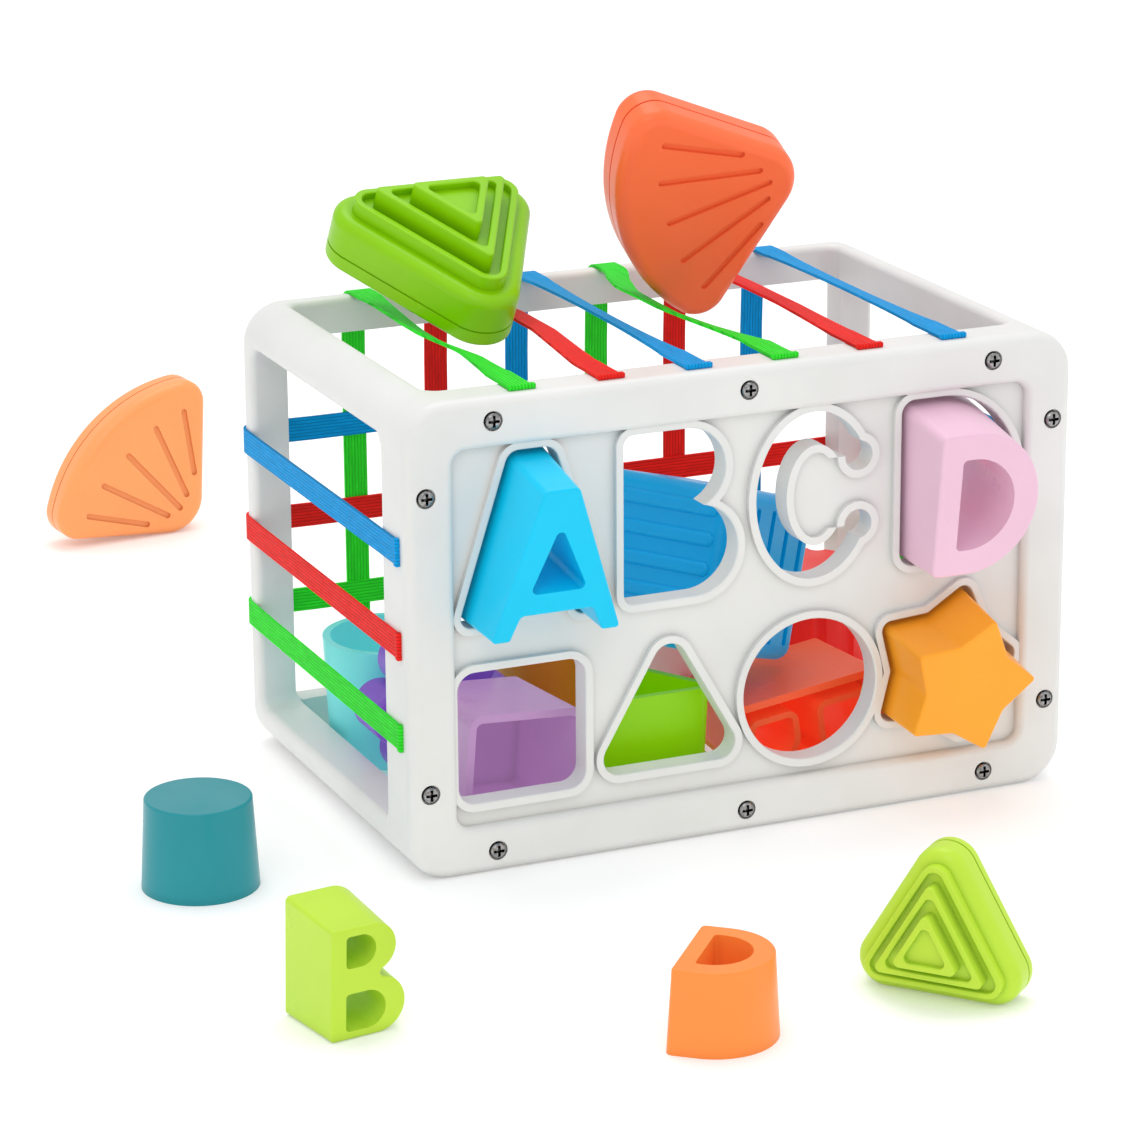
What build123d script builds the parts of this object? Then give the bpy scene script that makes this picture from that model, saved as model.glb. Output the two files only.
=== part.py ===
from build123d import *
import os
from math import cos, pi, radians, sin, sqrt

# Shape sorter: an open box frame with a front panel of shape holes, elastic
# bands round the other sides, and hollow moulded blocks in, on and beside it.
# Millimetres. +Z up, +Y towards the back, +X to the right of the front panel.
# The origin is the middle of the underside of the frame's front bottom rail.

# ---------------------------------------------------------------- box sizes
WIDTH = 200.0
HEIGHT = 133.0
DEPTH = 130.0
RIM_THICK = 4.3             # front panel's outer rim, front to back
RAIL_DEPTH = 10.0           # front ring of the frame, front to back
SEAM_Y = -RAIL_DEPTH / 2    # where the panel meets the frame
FRONT_Y = SEAM_Y - RIM_THICK
BACK_Y = FRONT_Y + DEPTH
CORNER_R = 12.0             # corners of the box seen from the front
FRONT_EDGE_R = 3.0
BACK_EDGE_R = 6.0
EDGE_R = 2.0                # outer edges of the windows

RING_X, RING_LOW, RING_HIGH = 87.0, 13.0, 120.0
CAVITY_X, CAVITY_HIGH = 88.0, 121.0
SIDE_Y = (8.7, 110.2)       # side windows, front and back edges
TOP_X, TOP_Y = 87.5, (5.0, 112.0)
BACK_X, BACK_Z = 89.0, (13.0, 122.5)
WINDOW_R = 4.0

# ---------------------------------------------------------------- front panel
FIELD_X, FIELD_LOW, FIELD_HIGH = 86.0, 13.6, 119.4
FIELD_R = 4.0
RECESS = 3.0                # depth of the field behind the rim's face
PLATE_T = 2.6
SPIGOT = 0.4                # the plate's step inside the frame's front ring
COLLAR_WALL = 2.2
RIM_INNER_R = 2.0           # rounding of the rim's inner edge
LIP_R = 0.5                 # rounding of the holes' front edges
COLLAR_FRONT = FRONT_Y + 1.3
COLLAR_BACK = FRONT_Y + 8.3

# ---------------------------------------------------------------- holes
LETTER_HIGH = 47.5
SQUARE_SIDE = 37.3
TRIANGLE_SIDE = 47.0        # to the sharp corners
ROUND_R = 20.4
STAR_TIP_R, STAR_NOTCH_R = 24.6, 16.3
HOLE_A, HOLE_B, HOLE_C, HOLE_D = (-63.2, 93.8), (-19.5, 93.9), (20.5, 94.3), (65.6, 94.0)
HOLE_SQUARE, HOLE_TRIANGLE = (-66.6, 38.7), (-22.8, 35.4)
HOLE_ROUND, HOLE_STAR = (20.0, 38.4), (61.6, 40.0)

# ---------------------------------------------------------------- screws
HEAD_R, HEAD_T = 2.3, 1.9
SHANK_R, SCREW_LENGTH = 1.3, 10.0
HEAD_SINK = 1.1
SCREW_XS = (-74.7, 0.0, 74.7)
SCREW_ZS = (6.3, HEIGHT - 6.3)
SCREW_SIDE_X = 94.0
SCREW_SIDE_Z = 41.3         # above and below mid height

# ---------------------------------------------------------------- bands
BAND_W, BAND_T = 7.0, 0.8
BAND_GAP = 0.05             # between a band and the plastic it lies on
BAND_PITCH = 25.8
TAB = 6.5                   # length clamped in the seam
SIDE_BANDS = {"top": 92.7, "middle": 66.6, "bottom": 40.8}
GROOVE = 1.0
BOWS = {                    # top runs pushed aside by the blocks resting on them
    1: [(34.0, 1.0), (55.0, -2.3), (68.0, -2.3)],
    2: [(50.0, 4.0), (72.0, 4.0)],
    4: [(38.0, -4.6), (56.0, -7.0), (84.0, -7.0), (98.0, -3.5)],
    5: [(48.0, 1.5), (74.0, 1.5)],
}

# ---------------------------------------------------------------- blocks
WALL, FACE_T = 2.2, 2.4
BLOCK_GAP = 0.9             # open end of a block inside its hole, each side
FACE_INSET = 0.9            # closed face drawn in from the open end, each side
FACE_SCALE = 0.955          # and made smaller
HOLLOW_SCALE = 0.93
FACE_EDGE_R = 0.8
RIB_PITCH = 8.4             # ribbed cube
FAN_HALF_ANGLE = 44.0
ROUND_SPOT, B_SPOT, D_SPOT = (-151.0, 16.0), (-148.0, -86.6), (-67.6, -129.9)
STEP_SPOT, FAN_SPOT = (-2.0, -129.0), (-44.0, 336.0)
STEP_PITCH = 0.064          # rings of the three-cornered block, as shares of its side
STEP_RISE = 0.055
CREST_SHARE = 0.029
CORNER_SHARE = 0.137
DROOP = 7.0                 # degrees, blocks hanging in the holes

os.makedirs("parts", exist_ok=True)


def put(shape, origin, x_dir=(1, 0, 0), z_dir=(0, -1, 0)):
    """Places a shape drawn about the local origin, by default upright facing the front."""
    return Plane(origin=origin, x_dir=x_dir, z_dir=z_dir) * shape


def save(name, shape):
    solids = shape.solids()
    body = solids[0] if len(solids) == 1 else Compound(children=list(solids))
    body.label = name
    export_step(body, f"parts/{name}.step")


def edges_at(shape, axis, last=True):
    """The edges of the flat face furthest along an axis."""
    faces = shape.faces().sort_by(axis)
    return (faces[-1] if last else faces[0]).edges()


# ================================================================ outlines
# Drawn about their own centres as seen from the front of the panel.


def letter_a():
    top = LETTER_HIGH / 2
    right = [(6.5, top), (21.8, -top), (12.7, -top), (9.6, 7.2 - top)]
    left = [(-x, y) for x, y in reversed(right)]
    outline = make_face(Polyline(*right, *left, close=True))
    outline = fillet(outline.vertices().filter_by(lambda v: v.Y > 20), 4.0)
    return fillet(outline.vertices().filter_by(lambda v: v.Y < 1 - top), 2.8)


def stem(left, right, low, high):
    return Pos((left + right) / 2, (low + high) / 2) * Rectangle(right - left, high - low)


def letter_b():
    top = LETTER_HIGH / 2
    upper_r, lower_r = 11.6, 12.9
    outline = Pos(13.2 - upper_r, top - upper_r) * Circle(upper_r)
    outline += Pos(17.0 - lower_r, lower_r - top) * Circle(lower_r)
    outline += stem(-17.0, 13.2 - upper_r, top - 2 * upper_r, top)
    outline += stem(-17.0, 17.0 - lower_r, -top, 2 * lower_r - top)
    return fillet(outline.vertices().filter_by(lambda v: v.X < -16.9), 3.0)


def letter_c(grow=0.0):
    outline = Ellipse(17.6 + grow, LETTER_HIGH / 2 + grow)
    outline -= Pos(0.6, 0) * Ellipse(9.0 - grow, 14.3 - grow)
    outline -= Pos(14.0, 0) * Rectangle(26.0, 20.0)
    for side in (-1, 1):
        outline += Pos(13.6, 9.8 * side) * Circle(4.2 + grow)
    return outline


def letter_d():
    top = LETTER_HIGH / 2
    bowl = Pos(18.2 - top, 0) * Circle(top)
    outline = (bowl & Pos(18.2, 0) * Rectangle(2 * top, 2 * top))
    outline += stem(-18.2, 18.2 - top, -top, top)
    return fillet(outline.vertices().filter_by(lambda v: v.X < -18.1), 4.0)


def square():
    return RectangleRounded(SQUARE_SIDE, SQUARE_SIDE, 5.0)


def triangle(side=TRIANGLE_SIDE, radius=5.0, turn=90):
    """Equilateral, with one corner pointing along the angle turn."""
    corners = [(side / sqrt(3) * cos(radians(turn + 120 * k)),
                side / sqrt(3) * sin(radians(turn + 120 * k))) for k in range(3)]
    outline = make_face(Polyline(*corners, close=True))
    return fillet(outline.vertices(), radius)


def star():
    corners = []
    for k in range(10):
        reach = STAR_NOTCH_R if k % 2 else STAR_TIP_R
        corners.append((reach * cos(radians(36 * k)), reach * sin(radians(36 * k))))
    outline = make_face(Polyline(*corners, close=True))
    tips = outline.vertices().filter_by(lambda v: v.X ** 2 + v.Y ** 2 > 400)
    outline = fillet(tips, 2.8)
    notches = outline.vertices().filter_by(lambda v: v.X ** 2 + v.Y ** 2 < 17 ** 2)
    return fillet(notches, 2.0)


def disc():
    return Circle(ROUND_R)


def d_hole(wide, high):
    """A letter's D-shaped counter: straight on the left, round on the right."""
    middle = wide / 2 - high / 2
    outline = Pos(middle, 0) * Circle(high / 2) & Pos(middle + high / 2, 0) * Rectangle(high, high)
    outline += stem(-wide / 2, middle, -high / 2, high / 2)
    return fillet(outline.vertices().filter_by(lambda v: v.X < 0.1 - wide / 2), 1.5)


def fan_outline(reach):
    """A fan with its point at the origin, opening along +X."""
    ends = [(reach * cos(radians(a)), reach * sin(radians(a))) for a in (-FAN_HALF_ANGLE, FAN_HALF_ANGLE)]
    arc = ThreePointArc(ends[0], (reach, 0), ends[1])
    outline = make_face([Line((0, 0), ends[0]), arc, Line(ends[1], (0, 0))])
    outline = fillet(outline.vertices().filter_by(lambda v: v.X < 1), 14.0 * reach / 62)
    return fillet(outline.vertices().filter_by(lambda v: v.X > 0.6 * reach), 9.0 * reach / 62)


def resized(outline, by):
    """An outline made wider all round, or narrower when by is negative."""
    return letter_c(by) if outline is letter_c else offset(outline(), by)


HOLES = [
    (letter_a, HOLE_A), (letter_b, HOLE_B), (letter_c, HOLE_C), (letter_d, HOLE_D),
    (square, HOLE_SQUARE), (triangle, HOLE_TRIANGLE), (disc, HOLE_ROUND), (star, HOLE_STAR),
]

# ================================================================ box


def slab(sketch, front, back):
    """Extrudes a sketch seen from the front, from y=front back to y=back."""
    return put(extrude(sketch, back - front), (0, back, 0))


def panel_field(grow=0.0):
    high = FIELD_HIGH - FIELD_LOW
    return Pos(0, (FIELD_LOW + FIELD_HIGH) / 2) * RectangleRounded(
        2 * (FIELD_X + grow), high + 2 * grow, FIELD_R)


def screw_places():
    places = [(x, z) for x in SCREW_XS for z in SCREW_ZS]
    places += [(x, HEIGHT / 2 + z) for x in (-SCREW_SIDE_X, SCREW_SIDE_X)
               for z in (-SCREW_SIDE_Z, SCREW_SIDE_Z)]
    return places


def make_panel():
    outline = Pos(0, HEIGHT / 2) * RectangleRounded(WIDTH, HEIGHT, CORNER_R)
    panel = slab(outline, FRONT_Y, SEAM_Y)
    panel = fillet(edges_at(panel, Axis.Y, last=False), FRONT_EDGE_R)
    panel -= slab(panel_field(), FRONT_Y - 1, FRONT_Y + RECESS)
    rim_inside = panel.faces().sort_by(Axis.Y)[0].inner_wires()[0]
    panel = fillet(rim_inside.edges(), RIM_INNER_R)
    panel += slab(panel_field(SPIGOT), SEAM_Y - 0.5, FRONT_Y + RECESS + PLATE_T)
    field = slab(panel_field(SPIGOT - 0.1), COLLAR_FRONT, COLLAR_BACK)
    for outline, (x, z) in HOLES:
        collar = Pos(x, z) * resized(outline, COLLAR_WALL)
        panel += slab(collar, COLLAR_FRONT, COLLAR_BACK) & field
    for outline, (x, z) in HOLES:
        panel -= slab(Pos(x, z) * outline(), FRONT_Y - 1, COLLAR_BACK + 1)
    lips = [f for f in panel.faces().filter_by(Axis.Y) if abs(f.center().Y - COLLAR_FRONT) < 0.01]
    hole_edges = [edge for lip in lips for wire in lip.inner_wires() for edge in wire.edges()]
    panel = fillet(hole_edges, LIP_R)
    for x, z in screw_places():
        panel -= slab(Pos(x, z) * Circle(SHANK_R + 0.3), FRONT_Y - 1, SEAM_Y + 1)
        panel -= slab(Pos(x, z) * Circle(HEAD_R + 0.45), FRONT_Y - 1, FRONT_Y + HEAD_SINK)
    return panel


def make_screw():
    """Pan head with a cross recess; the seat is at z=0 and the shank points down."""
    head = fillet(edges_at(extrude(Circle(HEAD_R), HEAD_T), Axis.Z), 1.2)
    for turn in (0, 90):
        slot = extrude(Rot(0, 0, turn) * Rectangle(3.2, 0.8), 1.3)
        head -= Pos(0, 0, HEAD_T - 1.1) * slot
    point = loft([Circle(SHANK_R), Pos(0, 0, -1.6) * Circle(0.3)])
    shank = extrude(Circle(SHANK_R), 1.6 - SCREW_LENGTH)
    return head + shank + Pos(0, 0, 1.6 - SCREW_LENGTH) * point


def window_box(x, y, z, axis):
    """A cutter between pairs of limits, with rounded corners along one axis."""
    cutter = Pos(sum(x) / 2, sum(y) / 2, sum(z) / 2) * Box(x[1] - x[0], y[1] - y[0], z[1] - z[0])
    return fillet(cutter.edges().filter_by(axis), WINDOW_R)


def window_edges(frame):
    """The outer edges of the windows in the sides, top, underside and back."""
    low, high = RING_LOW - 0.1, CAVITY_HIGH + 0.1
    edges = []
    for edge in frame.edges():
        near, far = edge.bounding_box().min, edge.bounding_box().max
        on_side = near.X > WIDTH / 2 - 1 or far.X < 1 - WIDTH / 2
        if on_side and near.Z > low and far.Z < high:
            if near.Y > SIDE_Y[0] - 0.1 and far.Y < SIDE_Y[1] + 0.1:
                edges.append(edge)
    flat = frame.faces().filter_by(GeomType.PLANE)
    for face in (flat.sort_by(Axis.Z)[-1], flat.sort_by(Axis.Z)[0], flat.sort_by(Axis.Y)[-1]):
        edges += face.inner_wires()[0].edges()
    return edges


def make_frame():
    outline = Pos(0, HEIGHT / 2) * RectangleRounded(WIDTH, HEIGHT, CORNER_R)
    frame = slab(outline, SEAM_Y, BACK_Y)
    frame = fillet(edges_at(frame, Axis.Y), BACK_EDGE_R)
    ring = (RING_LOW, RING_HIGH)
    walls = (RING_LOW, CAVITY_HIGH)
    frame -= window_box((-RING_X, RING_X), (SEAM_Y - 5, RAIL_DEPTH), ring, Axis.Y)
    inside = (-CAVITY_X, CAVITY_X)
    depth = (RAIL_DEPTH / 2, SIDE_Y[1])
    frame -= Pos(0, sum(depth) / 2, sum(walls) / 2) * Box(
        2 * CAVITY_X, depth[1] - depth[0], walls[1] - walls[0])
    windows = [
        window_box((-WIDTH, WIDTH), SIDE_Y, walls, Axis.X),
        window_box((-TOP_X, TOP_X), TOP_Y, (CAVITY_HIGH - 5, HEIGHT + 5), Axis.Z),
        window_box((-TOP_X, TOP_X), TOP_Y, (-5, RING_LOW + 5), Axis.Z),
        window_box((-BACK_X, BACK_X), (SIDE_Y[1] - 5, BACK_Y + 5), BACK_Z, Axis.Y),
    ]
    for window in windows:
        frame -= window
    frame = fillet(window_edges(frame), EDGE_R)
    for x, z in screw_places():
        pilot = slab(Pos(x, z) * Circle(SHANK_R + 0.05), SEAM_Y - 1, SEAM_Y + SCREW_LENGTH)
        frame -= pilot
    for x in band_xs():
        frame -= place_upright(strip(upright_line(), upright_radii(), 7.6, 1.2), x)
    for z in SIDE_BANDS.values():
        for side in (-1, 1):
            notch = Pos(side * (WIDTH / 2 - TAB / 2 + 2), z) * Rectangle(TAB + 4.6, BAND_W + 0.6)
            frame -= slab(notch, SEAM_Y - 1, SEAM_Y + GROOVE)
    return frame


# ================================================================ bands


def strip(line, radii, width, thick):
    """A flat band along a line drawn in XY, centred on z=0."""
    path = FilletPolyline(*line, radius=radii)
    return extrude(trace(path, thick), width / 2, both=True)


def band_xs():
    return [BAND_PITCH * (k - 2.5) for k in range(6)]


def upright_line():
    """From the seam over the top, down the back, under the box and into the seam."""
    tab_y = SEAM_Y + GROOVE / 2
    lift = BAND_GAP + BAND_T / 2
    top, back = HEIGHT + lift, BACK_Y + lift
    outside = BACK_Y + 0.9
    sunk = GROOVE - lift
    low_back = BACK_Y - sunk
    return [
        (tab_y, HEIGHT - TAB), (tab_y, top), (back, top), (back, 119.0),
        (outside, 108.0), (outside, 32.0), (low_back, 14.5), (low_back, sunk), (tab_y, sunk),
        (tab_y, TAB),
    ]


def upright_radii():
    return [0.6, BACK_EDGE_R + 0.45, 20.0, 20.0, 20.0, 20.0, BACK_EDGE_R - 0.55, 0.6]


def place_upright(shape, x):
    return put(shape, (x, 0, 0), (0, 1, 0), (1, 0, 0))


def bowed(upright, x, bow):
    """Pushes a band's top run sideways, by the given amounts at the given depths."""
    if bow is None:
        return upright
    start, end = 8.0, 112.0
    points = [(x, start), (x, start + 6)] + [(x + push, y) for y, push in bow]
    points += [(x, end - 6), (x, end)]
    run = extrude(trace(FilletPolyline(*points, radius=25.0), BAND_W), BAND_T)
    middle = Pos(x, (start + end) / 2, HEIGHT) * Box(BAND_W + 1, end - start, 6)
    return upright - middle + Pos(0, 0, HEIGHT + BAND_GAP) * run


def side_line():
    tab_y = SEAM_Y + GROOVE / 2
    lift = BAND_GAP + BAND_T / 2
    out, back = WIDTH / 2 + lift, BACK_Y + lift
    across = BACK_Y - 0.1
    right = [(out - TAB, tab_y), (out, tab_y), (out, back), (90.0, back), (78.0, across)]
    return right + [(-x, y) for x, y in reversed(right)]


def side_radii():
    right = [0.6, BACK_EDGE_R + 0.45, 20.0, 20.0]
    return right + right[::-1]


# ================================================================ blocks


def shell_block(outline, face, inner, depth, counters=()):
    """Hollow block: open end at z=0, closed face at z=depth, tubes round its counters."""
    shell = loft([outline, Pos(0, 0, depth) * face])
    shell = fillet(edges_at(shell, Axis.Z), FACE_EDGE_R)
    shell -= loft([inner, Pos(0, 0, depth - FACE_T) * scale(inner, HOLLOW_SCALE)])
    for counter in counters:
        shell += extrude(offset(counter, 1.8), depth - 1.0)
    for counter in counters:
        shell -= extrude(counter, depth)
    return shell


def fitted(outline, depth, counters=()):
    """The block for a hole."""
    face = scale(resized(outline, -BLOCK_GAP - FACE_INSET), FACE_SCALE)
    inner = resized(outline, -BLOCK_GAP - WALL)
    return shell_block(resized(outline, -BLOCK_GAP), face, inner, depth, counters)


def a_counters():
    corners = [(-8.3, -8.1), (8.3, -8.1), (0, 11.2)]
    return [fillet(make_face(Polyline(*corners, close=True)).vertices(), 1.5)]


def b_counters():
    return [Pos(-3.0, 11.9) * d_hole(11.7, 12.1), Pos(-1.1, -10.9) * d_hole(15.6, 14.3)]


def d_counters():
    return [Pos(-0.5, 0) * d_hole(17.0, 27.0)]


def half_shell(outline, thick, round_r):
    """Half of a closed block, split at z=0."""
    shell = extrude(outline, thick)
    shell = fillet(edges_at(shell, Axis.Z), round_r)
    shell -= extrude(offset(outline, -WALL), thick - WALL)
    return shell - seam_groove(outline)


def seam_groove(outline):
    return extrude(outline, 0.3) - extrude(offset(outline, -0.4), 0.3)


def fan_half(reach, thick):
    return half_shell(fan_outline(reach), thick, 3.4)


def fan_face(reach, thick):
    """The half with five grooves spreading from the point."""
    half = fan_half(reach, thick)
    for turn, start, end in ((-33, 24, 51.5), (-18, 16.8, 49.7), (0, 14.1, 48.2),
                             (18, 16.8, 49.7), (33, 24, 51.5)):
        length = (end - start) * reach / 62
        middle = (end + start) / 2 * reach / 62
        slot = extrude(Pos(middle, 0) * SlotOverall(length, 2.0), 1.0)
        half -= Rot(0, 0, turn) * Pos(0, 0, thick - 1.0) * slot
    return half


def stepped_outline(side, inset):
    """The three-cornered outline, drawn in by inset all round."""
    radius = max(CORNER_SHARE * side - inset, 1.4)
    return triangle(side - 2 * sqrt(3) * inset, radius, 0)


def stepped_face(side, thick):
    """The face of a three-cornered block: raised rings, each inside and above the last."""
    pitch, rise, crest = side * STEP_PITCH, side * STEP_RISE, side * CREST_SHARE
    shell = extrude(stepped_outline(side, 0), thick)
    shell = fillet(edges_at(shell, Axis.Z), 3.4)
    for k in (1, 2, 3):
        top = thick + rise * k
        ring = extrude(stepped_outline(side, pitch * k), top)
        ring -= Pos(0, 0, top - crest) * extrude(stepped_outline(side, pitch * k + crest), crest)
        shell += fillet(edges_at(ring, Axis.Z), 0.25 * crest)
    shell -= extrude(stepped_outline(side, WALL), thick - WALL)
    for k in (1, 2):
        inside = stepped_outline(side, pitch * k + crest + WALL)
        shell -= extrude(inside, thick + rise * k - crest - WALL)
    return shell - seam_groove(stepped_outline(side, 0))


def stepped_base(side, thick):
    return half_shell(stepped_outline(side, 0), thick, 1.5)


def flower():
    outline = Circle(15.0)
    for k in range(6):
        outline += Rot(0, 0, 60 * k) * Pos(15.2, 0) * Circle(7.6)
    body = extrude(outline, 16.0)
    body = fillet(edges_at(body, Axis.Z), 1.5)
    body += Pos(0, 0, 16) * extrude(RegularPolygon(5.0, 6), 1.0)
    for k in range(6):
        place = Rot(0, 0, 60 * k) * Pos(15.0, 0, 16)
        body += place * extrude(Circle(2.8), 1.0)
        body -= place * extrude(Circle(1.4), 6.0, both=True)
    return body - extrude(Circle(12.5), 13.0)


def fluted():
    outline = Circle(22.0)
    for k in range(14):
        outline -= Rot(0, 0, 360 / 14 * k) * Pos(22.6, 0) * Circle(2.4)
    return outline


def ribbed_cube(size):
    """Ridges along X on two faces, grooves along Z on two, short slots on top."""
    body = fillet(Box(size, size, size).edges(), 4.5)
    ridge = extrude(SlotOverall(size - 8.0, 4.2), 3.0)
    ridge = fillet(edges_at(ridge, Axis.Z), 1.2)
    groove = extrude(SlotOverall(size - 9.0, 2.2), 3.0)
    slot = extrude(SlotOverall(10.0, 2.2), 3.0)
    rows = [RIB_PITCH * k for k in range(-2, 3)]
    for tilt in (90, -90):
        for row in rows:
            body += Rot(tilt, 0, 0) * Pos(0, row, size / 2 - 2.0) * ridge
    for tilt in (90, -90):
        for row in rows:
            body -= Rot(0, tilt, 0) * Pos(0, row, size / 2 - 1.2) * groove
    for row in rows:
        body -= Pos(row, 0, size / 2 - 1.2) * Rot(0, 0, 90) * slot
    inner = size - 7.0
    return body - Pos(0, 0, inner / 2 - size / 2) * Box(inner, inner, inner)


# ================================================================ make the nodes


def drooping(shape, x, face_y, z, depth):
    """Hangs a block in its hole, closed face towards the front and nose down."""
    out = (0, -cos(radians(DROOP)), -sin(radians(DROOP)))
    origin = (x, face_y - out[1] * depth, z - out[2] * depth)
    return put(shape, origin, z_dir=out)


save("front_panel", make_panel())
save("body_frame", make_frame())

screw = make_screw()
seat = FRONT_Y + HEAD_SINK - 0.02
screws = [put(screw, (x, seat, z)) for x, z in screw_places()]
save("panel_screws", Compound(children=screws))

for number, x in enumerate(band_xs(), start=1):
    upright = place_upright(strip(upright_line(), upright_radii(), BAND_W, BAND_T), x)
    save(f"upright_band_{number}", bowed(upright, x, BOWS.get(number)))
for name, z in SIDE_BANDS.items():
    loop = strip(side_line(), side_radii(), BAND_W, BAND_T)
    save(f"side_band_{name}", Pos(0, 0, z) * loop)

NOSE = 30.0                 # depth of the blocks hanging in the holes
block_a = fitted(letter_a, NOSE, a_counters())
save("block_a", drooping(block_a, HOLE_A[0], -26.3, 90.9, NOSE))
block_d = fitted(letter_d, NOSE, d_counters())
save("block_d", drooping(block_d, HOLE_D[0], -24.8, 91.1, NOSE))
block_star = fitted(star, NOSE)
save("block_star", drooping(block_star, HOLE_STAR[0], -24.5, 37.5, NOSE))

INSIDE = 36.0               # depth of the blocks lying in the box
UP, DOWN = (0, 0, 1), (0, 0, -1)
block_square = put(fitted(square, INSIDE), (0, INSIDE / 2, 0))
block_square = Pos(-61.0, 25.0, 20.8) * Rot(0, 4.5, 3.5) * Rot(0, 0, 180) * block_square
save("block_square", block_square)
save("block_triangle", put(fitted(triangle, INSIDE), (-21.5, 19.7, 37.6), (-1, 0, 0), DOWN))
tipped = radians(8.0)
block_b = put(fitted(letter_b, INSIDE, b_counters()), (31.0, 10.6, 0),
              (sin(tipped), 0, -cos(tipped)), (0, 1, 0))
save("block_b_inside", Pos(0, 0, 1.3 - block_b.bounding_box().min.Z) * block_b)
save("block_c", put(fitted(letter_c, 34.0), (-21.0, 75.5, 36.0), z_dir=DOWN))
save("block_round", put(fitted(disc, INSIDE), (-67.3, 89.0, 37.6), z_dir=DOWN))
save("block_flower", put(flower(), (-64.5, 66.5, 25.2)))
roller = shell_block(fluted(), fluted(), Circle(17.0), 40.0)
save("block_roller", put(roller, (63.5, 84.0, 1.4), z_dir=UP))
cube_place = Plane(origin=(7.6, 41.3, 62.3), x_dir=(0.524, -0.852, 0.009), z_dir=(0.256, 0.167, 0.952))
save("block_ribbed_cube", cube_place * ribbed_cube(47.0))

# Blocks lying on the top bands
FAN_REACH, FAN_HALF = 59.0, 8.0
fan_point = (49.4, 49.9, 172.9)
fan_axis, fan_normal = (-0.921, 0.195, -0.336), (-0.066, -0.931, -0.36)
fan_middle = Plane(origin=fan_point, x_dir=fan_axis, z_dir=fan_normal).offset(-FAN_HALF)
save("fan_face", fan_middle * fan_face(FAN_REACH, FAN_HALF))
save("fan_back", fan_middle * Rot(180, 0, 0) * fan_half(FAN_REACH, FAN_HALF))

STEP_SIDE, STEP_FACE, STEP_BASE = 75.5, 11.0, 5.0
step_top = Plane(origin=(-51.1, 76.7, 158.0), x_dir=(0.073, -0.903, -0.424), z_dir=(0.061, -0.421, 0.905))
step_middle = step_top.offset(-STEP_FACE)
save("stepped_face", step_middle * stepped_face(STEP_SIDE, STEP_FACE))
save("stepped_base", step_middle * Rot(180, 0, 0) * stepped_base(STEP_SIDE, STEP_BASE))

# Blocks standing beside the box, which are smaller than those in the holes


def standing(shape, x, y):
    """Moves a block to stand on the ground, centred over a point."""
    box = shape.bounding_box()
    return Pos(x - box.center().X, y - box.center().Y, -box.min.Z) * shape


LOOSE = 31.0                # depth of the loose letters and round block, before scaling
LETTER_SCALE, ROUND_SCALE = 0.71, 0.82
loose_round = put(fitted(disc, LOOSE), (0, 0, 0), z_dir=UP)
save("loose_round", standing(scale(loose_round, by=ROUND_SCALE), *ROUND_SPOT))

lean = radians(3.0)
facing = radians(8.0)
look = (sin(facing) * cos(lean), -cos(facing) * cos(lean), -sin(lean))
loose_b = put(fitted(letter_b, LOOSE, b_counters()), (0, 0, 0), (cos(facing), sin(facing), 0), look)
save("loose_b", standing(scale(loose_b, by=LETTER_SCALE), *B_SPOT))

turned = radians(-40.4)
loose_d = put(fitted(letter_d, LOOSE, d_counters()), (0, 0, 0), (cos(turned), sin(turned), 0), UP)
save("loose_d", standing(scale(loose_d, by=LETTER_SCALE), *D_SPOT))

SMALL_SIDE, SMALL_FACE, SMALL_BASE = 54.5, 8.0, 3.6
step_normal = (-0.763, -0.647, 0)
step_place = Plane(origin=(*STEP_SPOT, SMALL_SIDE / (2 * sqrt(3))), x_dir=UP, z_dir=step_normal)
save("loose_stepped_face", step_place * stepped_face(SMALL_SIDE, SMALL_FACE))
save("loose_stepped_base", step_place * Rot(180, 0, 0) * stepped_base(SMALL_SIDE, SMALL_BASE))

SMALL_REACH, SMALL_HALF = 54.6, 7.5
swing = radians(6.0)
side_on = radians(131.0)
loose_axis = (cos(side_on) * cos(swing), cos(side_on) * sin(swing), sin(side_on))
loose_place = Plane(origin=(*FAN_SPOT, 0), x_dir=loose_axis, z_dir=(sin(swing), -cos(swing), 0))
loose_face = loose_place * fan_face(SMALL_REACH, SMALL_HALF)
loose_back = loose_place * Rot(180, 0, 0) * fan_half(SMALL_REACH, SMALL_HALF)
lift = Pos(0, 0, -loose_face.bounding_box().min.Z)
save("loose_fan_face", lift * loose_face)
save("loose_fan_back", lift * loose_back)
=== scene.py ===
import math

import bmesh
import bpy
from mathutils import Matrix, Vector


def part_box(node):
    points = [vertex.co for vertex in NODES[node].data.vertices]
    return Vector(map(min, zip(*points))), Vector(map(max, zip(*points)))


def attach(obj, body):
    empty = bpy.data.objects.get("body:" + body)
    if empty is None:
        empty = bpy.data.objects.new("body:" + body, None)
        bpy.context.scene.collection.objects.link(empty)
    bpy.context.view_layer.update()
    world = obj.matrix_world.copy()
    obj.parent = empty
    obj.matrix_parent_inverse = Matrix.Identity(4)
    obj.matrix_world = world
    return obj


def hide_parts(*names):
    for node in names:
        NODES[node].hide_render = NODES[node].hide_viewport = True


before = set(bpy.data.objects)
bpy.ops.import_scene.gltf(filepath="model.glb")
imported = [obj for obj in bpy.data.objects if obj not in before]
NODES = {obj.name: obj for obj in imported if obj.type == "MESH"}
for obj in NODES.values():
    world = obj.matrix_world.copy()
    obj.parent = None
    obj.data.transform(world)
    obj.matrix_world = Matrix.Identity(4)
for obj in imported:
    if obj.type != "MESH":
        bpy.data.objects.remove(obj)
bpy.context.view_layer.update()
SCENE = bpy.context.scene

# ---------------------------------------------------------------- camera

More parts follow.
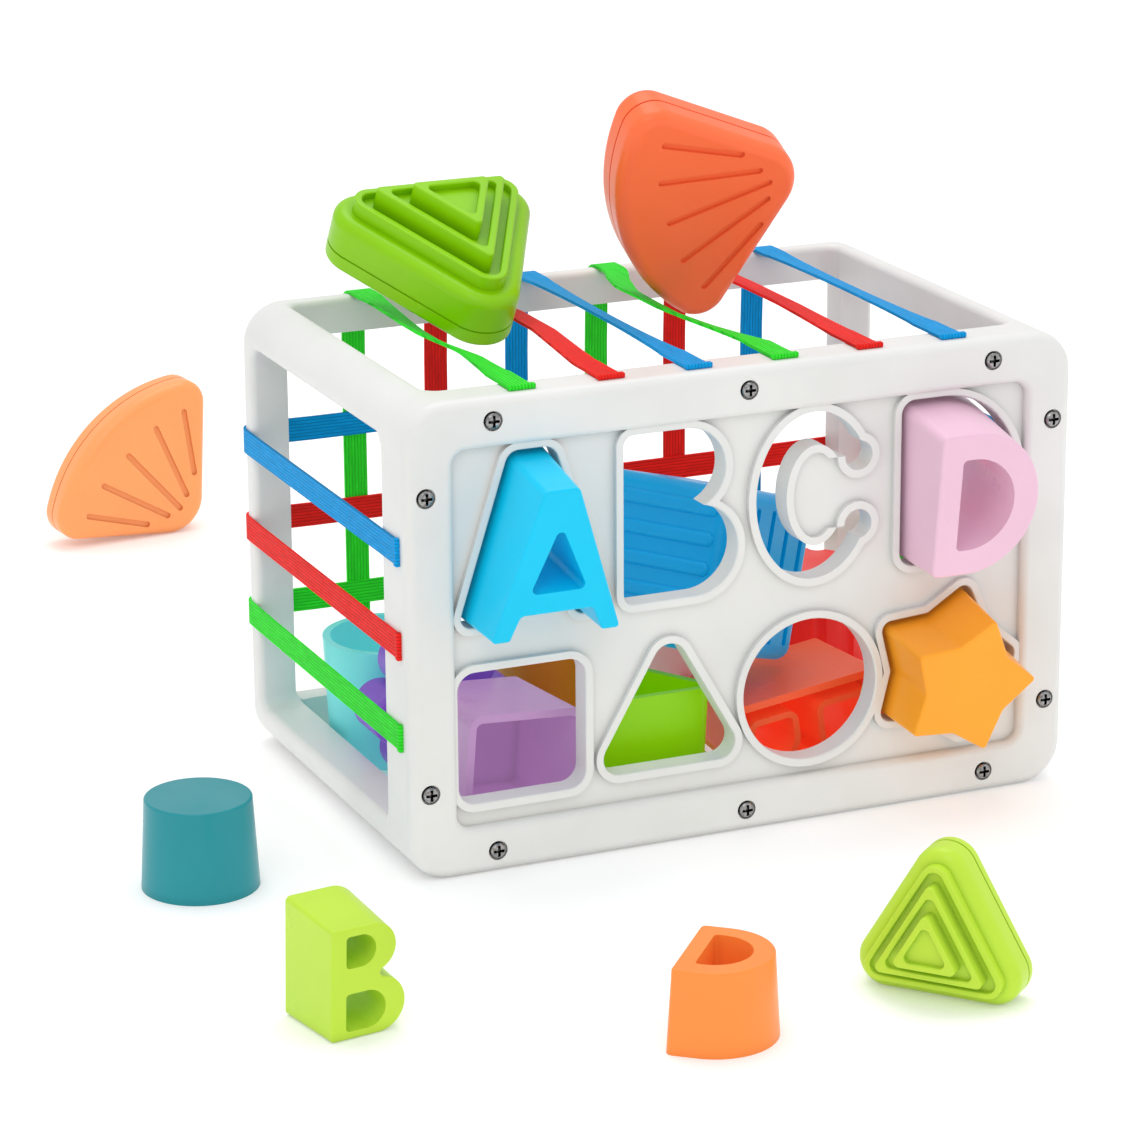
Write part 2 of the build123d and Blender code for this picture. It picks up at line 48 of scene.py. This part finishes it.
VIEW = (-23.534, 17.439, -0.369)        # azimuth, elevation and roll, in degrees
EYE = (-0.4768, -0.9824, 0.4164)        # metres, left of the box's front and above it
LENS, SENSOR = 131.54, 36.0             # millimetres


def make_camera():
    """A long lens a little above and left of the box's front."""
    azimuth, elevation, roll = (math.radians(angle) for angle in VIEW)
    back = Vector((math.sin(azimuth) * math.cos(elevation),
                   -math.cos(azimuth) * math.cos(elevation),
                   math.sin(elevation)))
    right = (-back).cross(Vector((0, 0, 1))).normalized()
    up = right.cross(-back)
    rolled_right = right * math.cos(roll) + up * math.sin(roll)
    rolled_up = up * math.cos(roll) - right * math.sin(roll)
    turn = Matrix((rolled_right, rolled_up, back)).transposed().to_4x4()
    lens = bpy.data.cameras.new("camera")
    lens.lens = LENS
    lens.sensor_width = SENSOR
    lens.clip_end = 20.0
    camera = bpy.data.objects.new("camera", lens)
    camera.matrix_world = Matrix.Translation(EYE) @ turn
    SCENE.collection.objects.link(camera)
    SCENE.camera = camera


make_camera()

# ---------------------------------------------------------------- materials


class Graph:
    """A material's node tree, built in short calls. Lengths are in metres."""

    def __init__(self, name):
        self.material = bpy.data.materials.new(name)
        self.material.use_nodes = True
        self.tree = self.material.node_tree
        self.shader = self.tree.nodes["Principled BSDF"]
        self.coords = self.tree.nodes.new("ShaderNodeTexCoord").outputs["Object"]

    def node(self, kind, **inputs):
        """A new node. Each input is a value or another node's output."""
        made = self.tree.nodes.new(kind)
        for key, value in inputs.items():
            socket = made.inputs[key.replace("_", " ")]
            if isinstance(value, bpy.types.NodeSocket):
                self.tree.links.new(value, socket)
            else:
                socket.default_value = value
        return made

    def link(self, output, name):
        """Feeds an output to one of the shader's sockets."""
        self.tree.links.new(output, self.shader.inputs[name])

    def set(self, **values):
        """Sets values on the shader's own sockets."""
        for key, value in values.items():
            self.shader.inputs[key.replace("_", " ")].default_value = value

    def noise(self, scale, detail=2.0, stretch=(1, 1, 1)):
        place = self.node("ShaderNodeMapping", Vector=self.coords, Scale=stretch)
        made = self.node("ShaderNodeTexNoise", Vector=place.outputs[0],
                         Scale=scale, Detail=detail)
        return made.outputs["Fac"]

    def hollow(self, reach):
        """1 out in the open, falling to 0 down in corners and grooves."""
        return self.node("ShaderNodeAmbientOcclusion", Distance=reach).outputs["AO"]

    def remap(self, value, low, high, start=0.3, end=0.7):
        """Takes start..end to low..high. Noise mostly lies between 0.3 and 0.7."""
        made = self.node("ShaderNodeMapRange", Value=value, From_Min=start, From_Max=end,
                         To_Min=low, To_Max=high)
        return made.outputs[0]

    def mix(self, factor, a, b):
        """From colour a at factor 0 to colour b at factor 1."""
        made = self.tree.nodes.new("ShaderNodeMix")
        made.data_type = "RGBA"
        self.tree.links.new(factor, made.inputs[0])
        for socket, value in ((made.inputs[6], a), (made.inputs[7], b)):
            if isinstance(value, bpy.types.NodeSocket):
                self.tree.links.new(value, socket)
            else:
                socket.default_value = (*value, 1)
        return made.outputs[2]

    def bump(self, height, strength, distance, normal=None):
        made = self.node("ShaderNodeBump", Height=height, Strength=strength, Distance=distance)
        if normal is not None:
            self.tree.links.new(normal, made.inputs["Normal"])
        return made.outputs[0]


def linear(hex_colour):
    """Linear colour from a display colour such as E6E6E4, by the sRGB curve."""
    out = []
    for k in (0, 2, 4):
        v = int(hex_colour[k:k + 2], 16) / 255
        out.append(v / 12.92 if v <= 0.04045 else ((v + 0.055) / 1.055) ** 2.4)
    return tuple(out)


def shade(colour, by):
    """The colour made darker or lighter."""
    return tuple(min(1.0, c * by) for c in colour)


def plastic(name, hex_colour, rough=0.36, painted_glow=0.0, shine=0.28):
    """Moulded toy plastic: faint flow marks, painted shade that darkens corners and grooves, an
    uneven gloss and a fine grain.

    The emission is painted light in the plastic's own colour, standing in for light shining
    through the plastic and lifting blocks out of the box's shade.
    """
    g = Graph(name)
    colour = linear(hex_colour)
    cloud = g.remap(g.noise(28.0, 3.0), 0.0, 1.0)
    flow = g.mix(cloud, shade(colour, 0.95), shade(colour, 1.03))
    # Painted shade: down in corners and grooves the colour falls to 0.78 of itself.
    clear_of_painted_shade = g.remap(g.hollow(0.004), 0.0, 1.0, 0.25, 0.9)
    tone = g.mix(clear_of_painted_shade, shade(colour, 0.78), flow)
    g.link(tone, "Base Color")
    g.link(g.remap(g.noise(70.0, 4.0), rough - 0.05, rough + 0.08), "Roughness")
    grain = g.bump(g.noise(2600.0, 2.0), 0.10, 0.00006)
    wave = g.bump(g.noise(90.0, 1.0), 0.12, 0.0004, grain)
    g.link(wave, "Normal")
    g.set(IOR=1.49, Specular_IOR_Level=shine, Coat_Weight=0.08, Coat_Roughness=0.2)
    # Painted light: the block glows in its own colour.
    if painted_glow:
        g.link(tone, "Emission Color")
        g.set(Emission_Strength=painted_glow)
    return g.material


def steel(name):
    """Plated screw heads, with painted shade near black down in the cross."""
    g = Graph(name)
    cloud = g.remap(g.noise(900.0, 3.0), 0.0, 1.0)
    bright = g.mix(cloud, (0.20, 0.20, 0.21), (0.46, 0.45, 0.44))
    # Painted shade: near black down in the cross, where light doesn't reach.
    clear_of_painted_shade = g.remap(g.hollow(0.0016), 0.0, 1.0, 0.45, 0.9)
    g.link(g.mix(clear_of_painted_shade, (0.012, 0.012, 0.014), bright), "Base Color")
    g.link(g.remap(g.noise(1500.0, 3.0), 0.2, 0.4), "Roughness")
    g.link(g.bump(g.noise(3000.0, 2.0), 0.2, 0.00005), "Normal")
    g.set(Metallic=1.0)
    return g.material


def webbing(name, hex_colour, across):
    """Woven elastic: fine ribs along the band and a tighter weave across it.

    across is the axis of the band's width.
    """
    g = Graph(name)
    colour = linear(hex_colour)
    ribs = g.node("ShaderNodeTexWave", Vector=g.coords, Scale=330.0, Distortion=0.5, Detail=1.0)
    ribs.bands_direction = across
    rib = ribs.outputs["Fac"]
    weave = g.noise(1700.0, 2.0)
    streak = g.noise(160.0, 3.0, (6, 1, 1) if across == "X" else (1, 1, 6))
    tone = g.mix(g.remap(streak, 0.0, 1.0), shade(colour, 0.88), shade(colour, 1.12))
    ribbed = g.mix(g.remap(rib, 0.0, 1.0, 0.0, 0.4), shade(colour, 0.66), tone)
    g.link(ribbed, "Base Color")
    # Painted light: the band glows faintly in its own colour.
    g.link(ribbed, "Emission Color")
    g.link(g.remap(weave, 0.5, 0.72), "Roughness")
    fine = g.bump(weave, 0.25, 0.00012)
    g.link(g.bump(rib, 0.4, 0.0002, fine), "Normal")
    g.set(Specular_IOR_Level=0.12, Sheen_Weight=0.02, Sheen_Roughness=0.4,
          Emission_Strength=0.12)
    return g.material


def paint(nodes, material):
    """Gives CAD nodes a material."""
    for name in nodes:
        data = NODES[name].data
        data.materials.clear()
        data.materials.append(material)


paint(["front_panel", "body_frame"], plastic("white_plastic", "E6E6E4", rough=0.38, shine=0.4))
paint(["panel_screws"], steel("screw_steel"))

BAND_COLOURS = {"green": "2FD92C", "red": "E5221C", "blue": "0094D8"}
UPRIGHTS = dict(enumerate(["green", "red", "blue"] * 2, start=1))
SIDES = {"top": "blue", "middle": "red", "bottom": "green"}
WEBBING = {
    colour: {way: webbing(f"{colour}_webbing_{way.lower()}", hex_colour, way) for way in "XZ"}
    for colour, hex_colour in BAND_COLOURS.items()}
for number, colour in UPRIGHTS.items():
    paint([f"upright_band_{number}"], WEBBING[colour]["X"])
for place, colour in SIDES.items():
    paint([f"side_band_{place}"], WEBBING[colour]["Z"])

BLOCKS = {                  # display colour, painted light as an emission strength, nodes
    # Blocks inside the box get much more painted light than the rest, lifting them out of the
    # box's shade.
    "sky_blue": ("00C4EE", 0.08, ["block_a"]),
    "pink": ("ECC2D8", 0.05, ["block_d"]),
    "amber": ("FFA52A", 0.06, ["block_star"]),
    "lilac": ("B088B6", 0.36, ["block_square"]),
    "violet": ("7C52BE", 0.25, ["block_flower"]),
    "lime": ("8ACA00", 0.05, ["stepped_face", "stepped_base"]),
    "lime_inside": ("8CD000", 0.24, ["block_triangle"]),
    "tangerine": ("FF7040", 0.08, ["fan_face", "fan_back"]),
    "tangerine_inside": ("FF6236", 0.16, ["block_b_inside"]),
    "amber_inside": ("D98420", 0.12, ["block_c"]),
    "orange": ("FF9040", 0.05, ["loose_d"]),
    "pale_orange": ("FFA464", 0.06, ["loose_fan_face", "loose_fan_back"]),
    "aqua": ("70D4D6", 0.25, ["block_round"]),
    "teal": ("1E8E98", 0.04, ["loose_round"]),
    "red": ("E8302A", 0.25, ["block_roller"]),
    "blue": ("0098D4", 0.3, ["block_ribbed_cube"]),
    "pale_lime": ("BCE03E", 0.05, ["loose_b", "loose_stepped_face", "loose_stepped_base"]),
}
for name, (colour, painted_glow, nodes) in BLOCKS.items():
    paint(nodes, plastic(name, colour, rough=0.32, painted_glow=painted_glow))

# ---------------------------------------------------------------- pieces on the box

SHARP_EDGE = math.radians(35)           # faces that meet at more than this stay crisp


def finish_piece(name, form, material):
    """Makes a form a smooth-sided piece that rides on the box."""
    data = bpy.data.meshes.new(name)
    form.to_mesh(data)
    form.free()
    data.shade_smooth()
    data.set_sharp_from_angle(angle=SHARP_EDGE)
    data.materials.clear()
    data.materials.append(material)
    piece = bpy.data.objects.new(name, data)
    SCENE.collection.objects.link(piece)
    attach(piece, "box")
    return piece


# ---------------------------------------------------------------- bands over the top

LOW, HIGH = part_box("body_frame")
RUN = (0.012, 0.106)        # the free stretch of a top run, front to back
BAND_MIDDLE = HIGH[2] + 0.00045         # a small gap and half a band's thickness up
TWISTS = {1: 25, 2: 8, 3: 19, 4: 22, 5: 10, 6: 15}      # degrees, right edge down
TWIST_EASE = 0.6            # below 1, a twist comes on sooner from the ends
RUN_STEPS = 32
ON_LINE = 1e-6              # how near a point is to the cut that made it


def middles(form, places):
    """The top run's middle line: its X at each place along Y."""
    line = []
    for y in places:
        xs = [v.co.x for v in form.verts
              if abs(v.co.y - y) < ON_LINE and v.co.z > HIGH[2]]
        line.append((min(xs) + max(xs)) / 2)
    return line


def make_twisted(number, colour):
    """A band like the model's, whose free top run turns a little about its own length."""
    front, back = RUN
    form = bmesh.new()
    form.from_mesh(NODES[f"upright_band_{number}"].data)
    places = [front + (back - front) * k / RUN_STEPS for k in range(RUN_STEPS + 1)]
    for y in places:
        geometry = form.verts[:] + form.edges[:] + form.faces[:]
        bmesh.ops.bisect_plane(form, geom=geometry, plane_co=(0, y, 0), plane_no=(0, 1, 0))
    line = middles(form, places)
    for v in form.verts:
        along = (v.co.y - front) / (back - front)
        if not 0 < along < 1 or v.co.z < HIGH[2]:
            continue
        step = min(int(along * RUN_STEPS), RUN_STEPS - 1)
        middle = line[step] + (line[step + 1] - line[step]) * (along * RUN_STEPS - step)
        turn = math.radians(TWISTS[number]) * math.sin(math.pi * along) ** TWIST_EASE
        across, up = v.co.x - middle, v.co.z - BAND_MIDDLE
        v.co.x = middle + across * math.cos(turn) + up * math.sin(turn)
        v.co.z = BAND_MIDDLE + up * math.cos(turn) - across * math.sin(turn)
    piece = finish_piece(f"twisted_band_{number}", form, WEBBING[colour]["X"])
    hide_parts(f"upright_band_{number}")


for number, colour in UPRIGHTS.items():
    make_twisted(number, colour)

# ---------------------------------------------------------------- band ends

PITCH = 0.0258              # between upright bands
SIDE_HEIGHTS = {"top": 0.0927, "middle": 0.0666, "bottom": 0.0408}
LIP = Vector((0.0078, 0.0019, 0.0014))      # across the band, front to back, thickness
LIP_EDGE = 0.00035          # rounding
LIP_SETBACK = 0.0006        # a lip's middle behind the seam
TOP_RISE, SIDE_RISE = 0.0008, 0.0006        # a lip's middle above the frame


def make_lip(name, centre, size, material):
    """The folded end of a band, standing proud where it goes into the seam."""
    form = bmesh.new()
    bmesh.ops.create_cube(form, size=1.0)
    bmesh.ops.scale(form, vec=size, verts=form.verts)
    bmesh.ops.bevel(form, geom=form.edges[:], offset=LIP_EDGE, segments=3,
                    affect="EDGES", profile=0.5)
    bmesh.ops.translate(form, vec=centre, verts=form.verts)
    finish_piece(name, form, material)


def make_lips():
    """A lip at each upright band's front end and at each side band's left end."""
    behind_seam = LOW[1] + LIP_SETBACK
    middle_band = (1 + len(UPRIGHTS)) / 2
    for number, colour in UPRIGHTS.items():
        centre = Vector(((number - middle_band) * PITCH, behind_seam, HIGH[2] + TOP_RISE))
        make_lip(f"upright_lip_{number}", centre, LIP,
                 WEBBING[colour]["X"])
    turned = Vector((LIP.z, LIP.y, LIP.x))
    for place, colour in SIDES.items():
        centre = Vector((LOW[0] - SIDE_RISE, behind_seam, SIDE_HEIGHTS[place]))
        make_lip(f"side_lip_{place}", centre, turned,
                 WEBBING[colour]["Z"])


make_lips()

# ---------------------------------------------------------------- studio

FLOOR_HALF = 6.0            # metres
WORLD_LIGHT = 0.80
AIM = (0, 0, 0.06)          # about the middle of the box
LIGHTS = {                  # place, what it faces, size in metres, power in watts
    "key": ((-0.9, -1.3, 1.7), AIM, 1.1, 6),
    "fill": ((1.6, -0.9, 1.0), AIM, 1.4, 2),
    "top": ((0.1, 0.5, 1.9), (0, 0.05, 0.06), 1.2, 11),
}


def make_floor():
    """Pale paper, a little brighter than the light makes it."""
    data = bpy.data.meshes.new("floor")
    form = bmesh.new()
    bmesh.ops.create_grid(form, x_segments=8, y_segments=8, size=FLOOR_HALF)
    form.to_mesh(data)
    form.free()
    floor = bpy.data.objects.new("floor", data)
    SCENE.collection.objects.link(floor)
    g = Graph("floor_paper")
    cloud = g.remap(g.noise(3.0, 2.0), 0.0, 1.0)
    g.link(g.mix(cloud, (0.90, 0.90, 0.90), (0.93, 0.93, 0.93)), "Base Color")
    g.set(Roughness=0.9, Emission_Color=(1, 1, 1, 1), Emission_Strength=0.18)
    data.materials.append(g.material)


def make_light(name, place, aim, size, power):
    """A soft white square of light."""
    data = bpy.data.lights.new(name, "AREA")
    data.size = size
    data.energy = power
    light = bpy.data.objects.new(name, data)
    light.location = place
    light.rotation_euler = (Vector(aim) - Vector(place)).to_track_quat("-Z", "Y").to_euler()
    SCENE.collection.objects.link(light)


def make_studio():
    make_floor()
    world = bpy.data.worlds.new("studio")
    SCENE.world = world
    world.use_nodes = True
    background = world.node_tree.nodes["Background"]
    background.inputs["Color"].default_value = (1, 1, 1, 1)
    background.inputs["Strength"].default_value = WORLD_LIGHT
    for name, (place, aim, size, power) in LIGHTS.items():
        make_light(name, place, aim, size, power)
    SCENE.view_settings.view_transform = "Standard"


make_studio()
